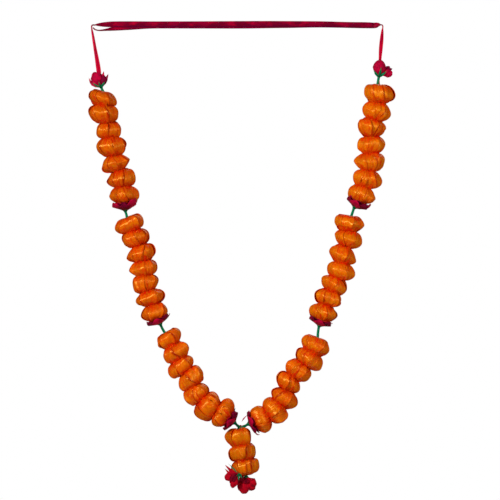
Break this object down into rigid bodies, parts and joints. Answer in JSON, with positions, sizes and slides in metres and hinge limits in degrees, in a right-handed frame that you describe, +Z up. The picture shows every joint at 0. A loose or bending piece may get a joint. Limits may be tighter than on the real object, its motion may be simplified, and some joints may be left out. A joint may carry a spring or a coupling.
{
  "type": "hanging garland of satin ribbon marigolds and roses",
  "caption": "Wall garland: strands of pleated satin ribbon marigold balls and small fabric roses meet in a short pendant, and hang by taut ribbon ties.",
  "frame": {"origin": "middle of the ties' top run, on the back face that lies against the wall", "axes": "+Z up along the hanging garland, +X to the viewer's right, +Y out of the back of the garland into the wall"},
  "size_m": [0.488, 0.0507, 0.7581],
  "materials": {
    "orange_satin": "satin",
    "crimson_petal": "satin",
    "crimson_ribbon": "satin",
    "calyx_green": "satin",
    "string_thread": "matte"
  },
  "bodies": {
    "root": {"marigold_left_1_1": "orange_satin", "marigold_left_1_2": "orange_satin", "marigold_left_1_3": "orange_satin", "marigold_left_1_4": "orange_satin", "marigold_left_1_5": "orange_satin", "marigold_left_1_6": "orange_satin", "marigold_left_1_7": "orange_satin", "marigold_left_2_1": "orange_satin", "marigold_left_2_2": "orange_satin", "marigold_left_2_3": "orange_satin", "marigold_left_2_4": "orange_satin", "marigold_left_2_5": "orange_satin", "marigold_left_2_6": "orange_satin", "marigold_left_2_7": "orange_satin", "marigold_left_3_1": "orange_satin", "marigold_left_3_2": "orange_satin", "marigold_left_3_3": "orange_satin", "marigold_left_3_4": "orange_satin", "marigold_left_3_5": "orange_satin", "marigold_left_3_6": "orange_satin", "marigold_left_3_7": "orange_satin", "marigold_right_1_1": "orange_satin", "marigold_right_1_2": "orange_satin", "marigold_right_1_3": "orange_satin", "marigold_right_1_4": "orange_satin", "marigold_right_1_5": "orange_satin", "marigold_right_1_6": "orange_satin", "marigold_right_1_7": "orange_satin", "marigold_right_2_1": "orange_satin", "marigold_right_2_2": "orange_satin", "marigold_right_2_3": "orange_satin", "marigold_right_2_4": "orange_satin", "marigold_right_2_5": "orange_satin", "marigold_right_2_6": "orange_satin", "marigold_right_2_7": "orange_satin", "marigold_right_3_1": "orange_satin", "marigold_right_3_2": "orange_satin", "marigold_right_3_3": "orange_satin", "marigold_right_3_4": "orange_satin", "marigold_right_3_5": "orange_satin", "marigold_right_3_6": "orange_satin", "marigold_right_3_7": "orange_satin", "marigold_pendant_1": "orange_satin", "marigold_pendant_2": "orange_satin", "marigold_pendant_3": "orange_satin", "rose_left_top": "crimson_petal", "rose_left_1": "crimson_petal", "rose_left_2": "crimson_petal", "rose_left_3": "crimson_petal", "rose_right_top": "crimson_petal", "rose_right_1": "crimson_petal", "rose_right_2": "crimson_petal", "rose_right_3": "crimson_petal", "rose_tassel_left": "crimson_petal", "rose_tassel_right": "crimson_petal", "string_left": "string_thread", "string_right": "string_thread", "string_pendant": "string_thread", "tie_left": "crimson_ribbon", "tie_right": "crimson_ribbon"}
  },
  "joints": []
}
